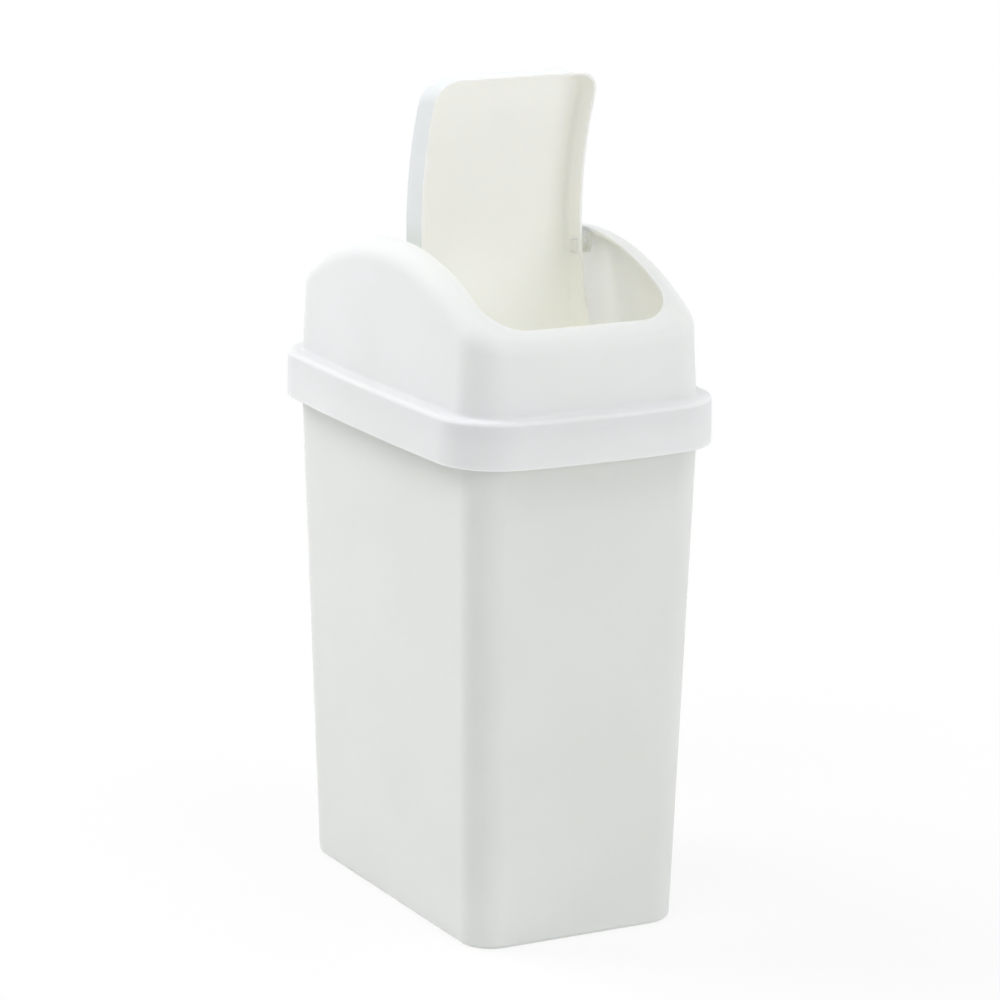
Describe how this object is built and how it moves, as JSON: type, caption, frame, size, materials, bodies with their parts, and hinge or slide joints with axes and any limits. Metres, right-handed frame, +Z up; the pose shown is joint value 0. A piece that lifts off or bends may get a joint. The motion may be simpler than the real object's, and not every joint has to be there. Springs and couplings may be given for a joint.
{
  "type": "swing-lid trash can",
  "caption": "Tall narrow countertop bin with a tapered bucket, a lift-off hooded lid and an arched flap that swings either way in the hood's opening.",
  "frame": {"origin": "centre of the bucket's footprint, on the surface that it stands on", "axes": "+Z up, -Y towards the narrow front side, +X towards the right side as seen from the front; the flap's pins lie along X"},
  "size_m": [0.1532, 0.231, 0.426],
  "materials": {
    "bucket": "fine matte moulded polypropylene, warm white",
    "lid_hood": "satin moulded polypropylene, neutral white",
    "swing_flap": "satin moulded polypropylene, warm white"
  },
  "bodies": {
    "bucket": {"bucket": "bucket"},
    "lid": {"lid_hood": "lid_hood"},
    "flap": {"swing_flap": "swing_flap"}
  },
  "joints": [
    {"name": "lid_lift", "type": "slide", "parent": "bucket", "child": "lid", "axis": [0, 0, 1], "range_m": [0, 0.06]},
    {"name": "flap_swing", "type": "hinge", "parent": "lid", "child": "flap", "pos_m": [0, 0, 0.3335], "axis": [1, 0, 0], "range_deg": [0, 191.2]}
  ]
}
